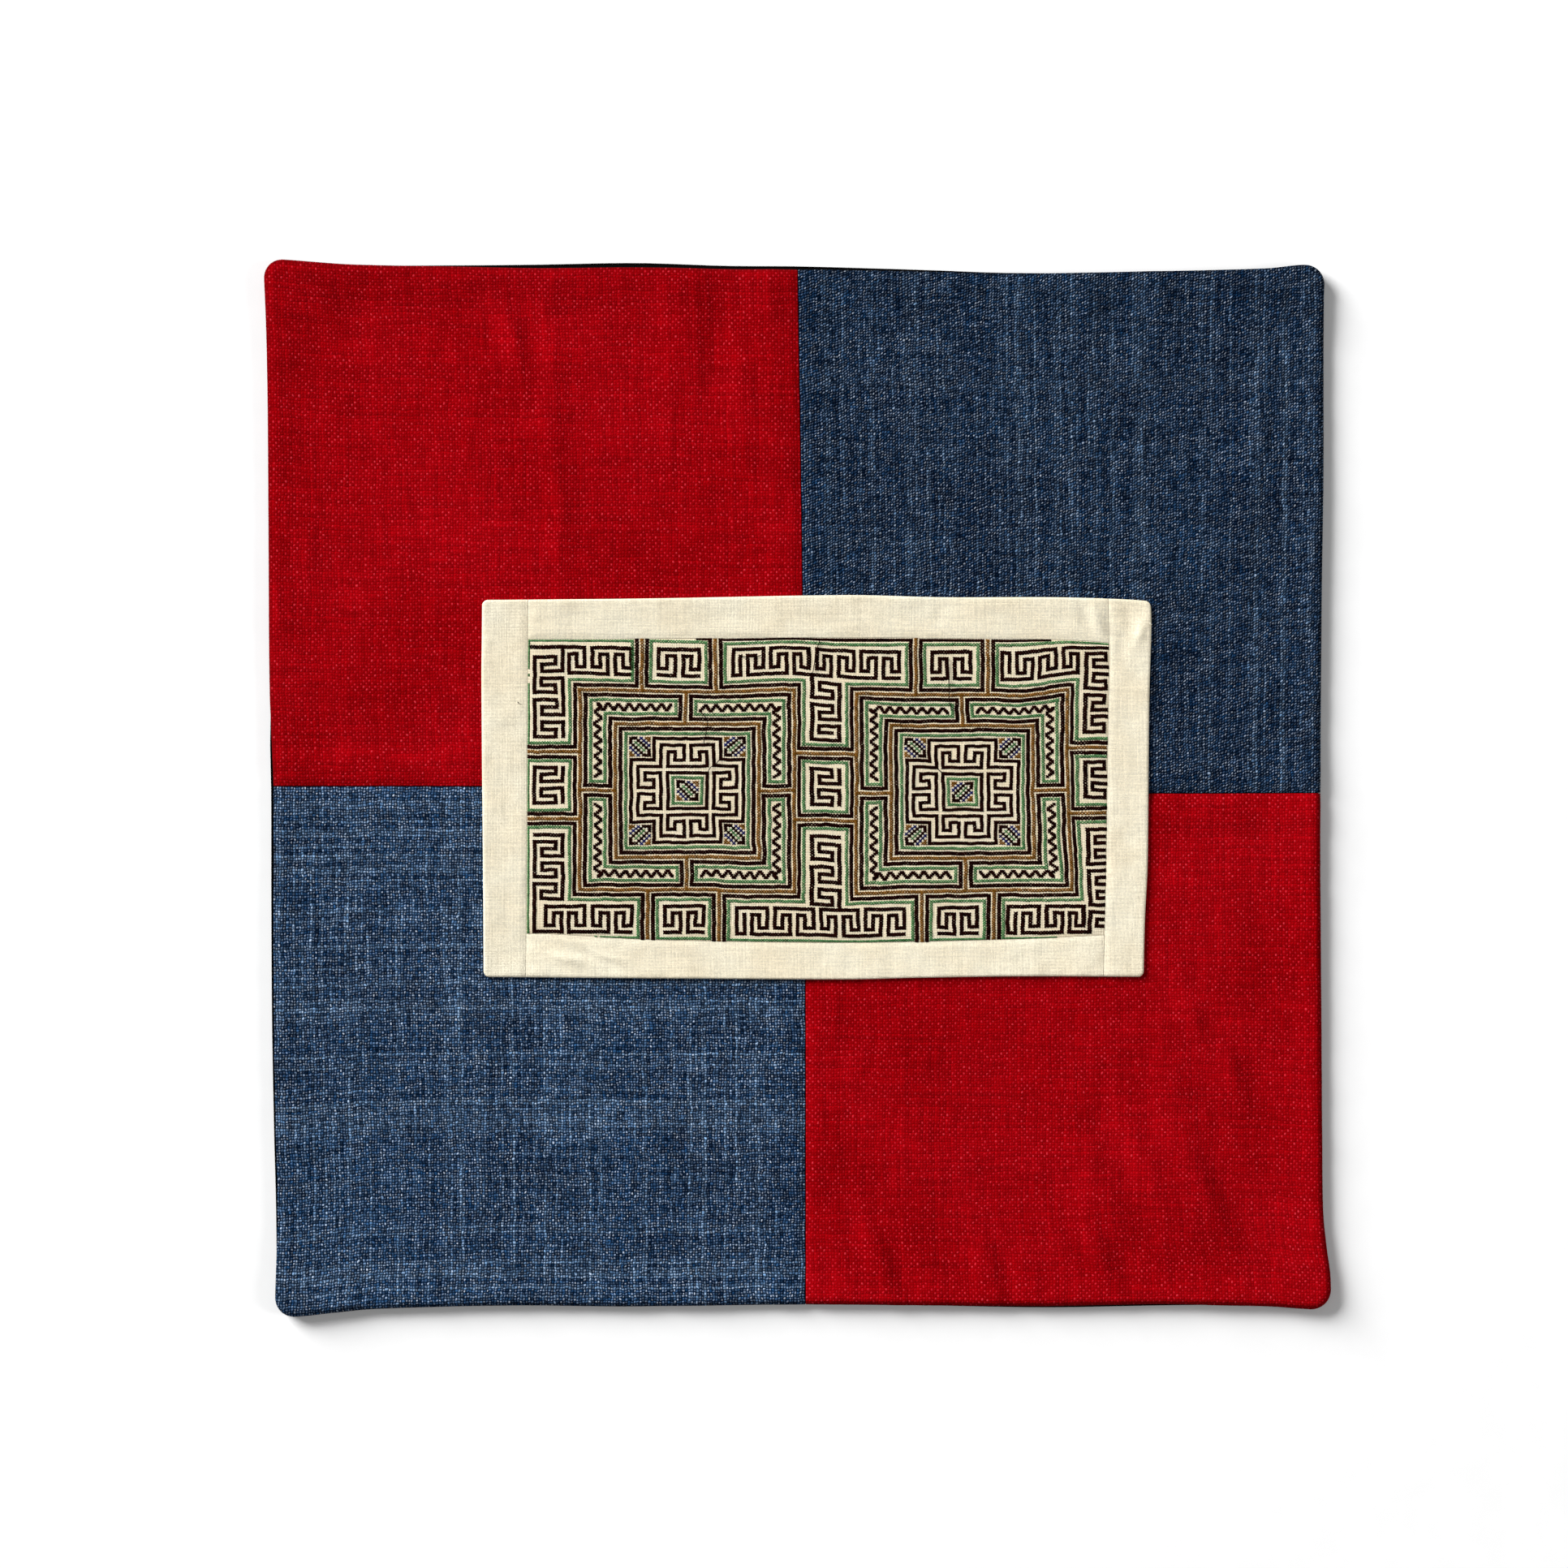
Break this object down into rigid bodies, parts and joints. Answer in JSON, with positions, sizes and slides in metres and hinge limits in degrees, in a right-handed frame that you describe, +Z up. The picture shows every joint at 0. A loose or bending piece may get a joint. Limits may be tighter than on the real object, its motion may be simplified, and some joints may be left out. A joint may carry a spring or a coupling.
{
  "type": "embroidered cushion cover",
  "caption": "Empty square cushion cover lying flat: a patchwork front of coarse red and blue cloth with a cream-framed cross-stitch panel, and a plain black back.",
  "frame": {"origin": "on the floor under the middle of the cover, as it lies on its back", "axes": "+Z up out of the front, +Y to the top edge of the design, +X to its right edge"},
  "size_m": [0.4508, 0.4469, 0.0068],
  "materials": {
    "red_cloth": "coarse plain-weave linen-look cloth, matt, with lighter slubs",
    "blue_cloth": "coarse heathered plain-weave cloth, matt, with pale threads",
    "black_cloth": "plain black woven cotton, matt",
    "cream_cotton": "fine unbleached cotton, matt",
    "evenweave_ground": "evenweave cotton ground, matt",
    "thread_black": "stranded cotton embroidery thread",
    "thread_green": "stranded cotton embroidery thread",
    "thread_brown": "stranded cotton embroidery thread",
    "thread_navy": "stranded cotton embroidery thread",
    "thread_white": "stranded cotton embroidery thread"
  },
  "bodies": {
    "root": {"back_panel": "black_cloth", "patch_red_upper_left": "red_cloth", "patch_blue_upper_right": "blue_cloth", "patch_blue_lower_left": "blue_cloth", "patch_red_lower_right": "red_cloth", "frame_strip_left": "cream_cotton", "frame_strip_right": "cream_cotton", "frame_strip_bottom": "cream_cotton", "frame_strip_top": "cream_cotton", "embroidered_panel": "evenweave_ground"}
  },
  "joints": []
}
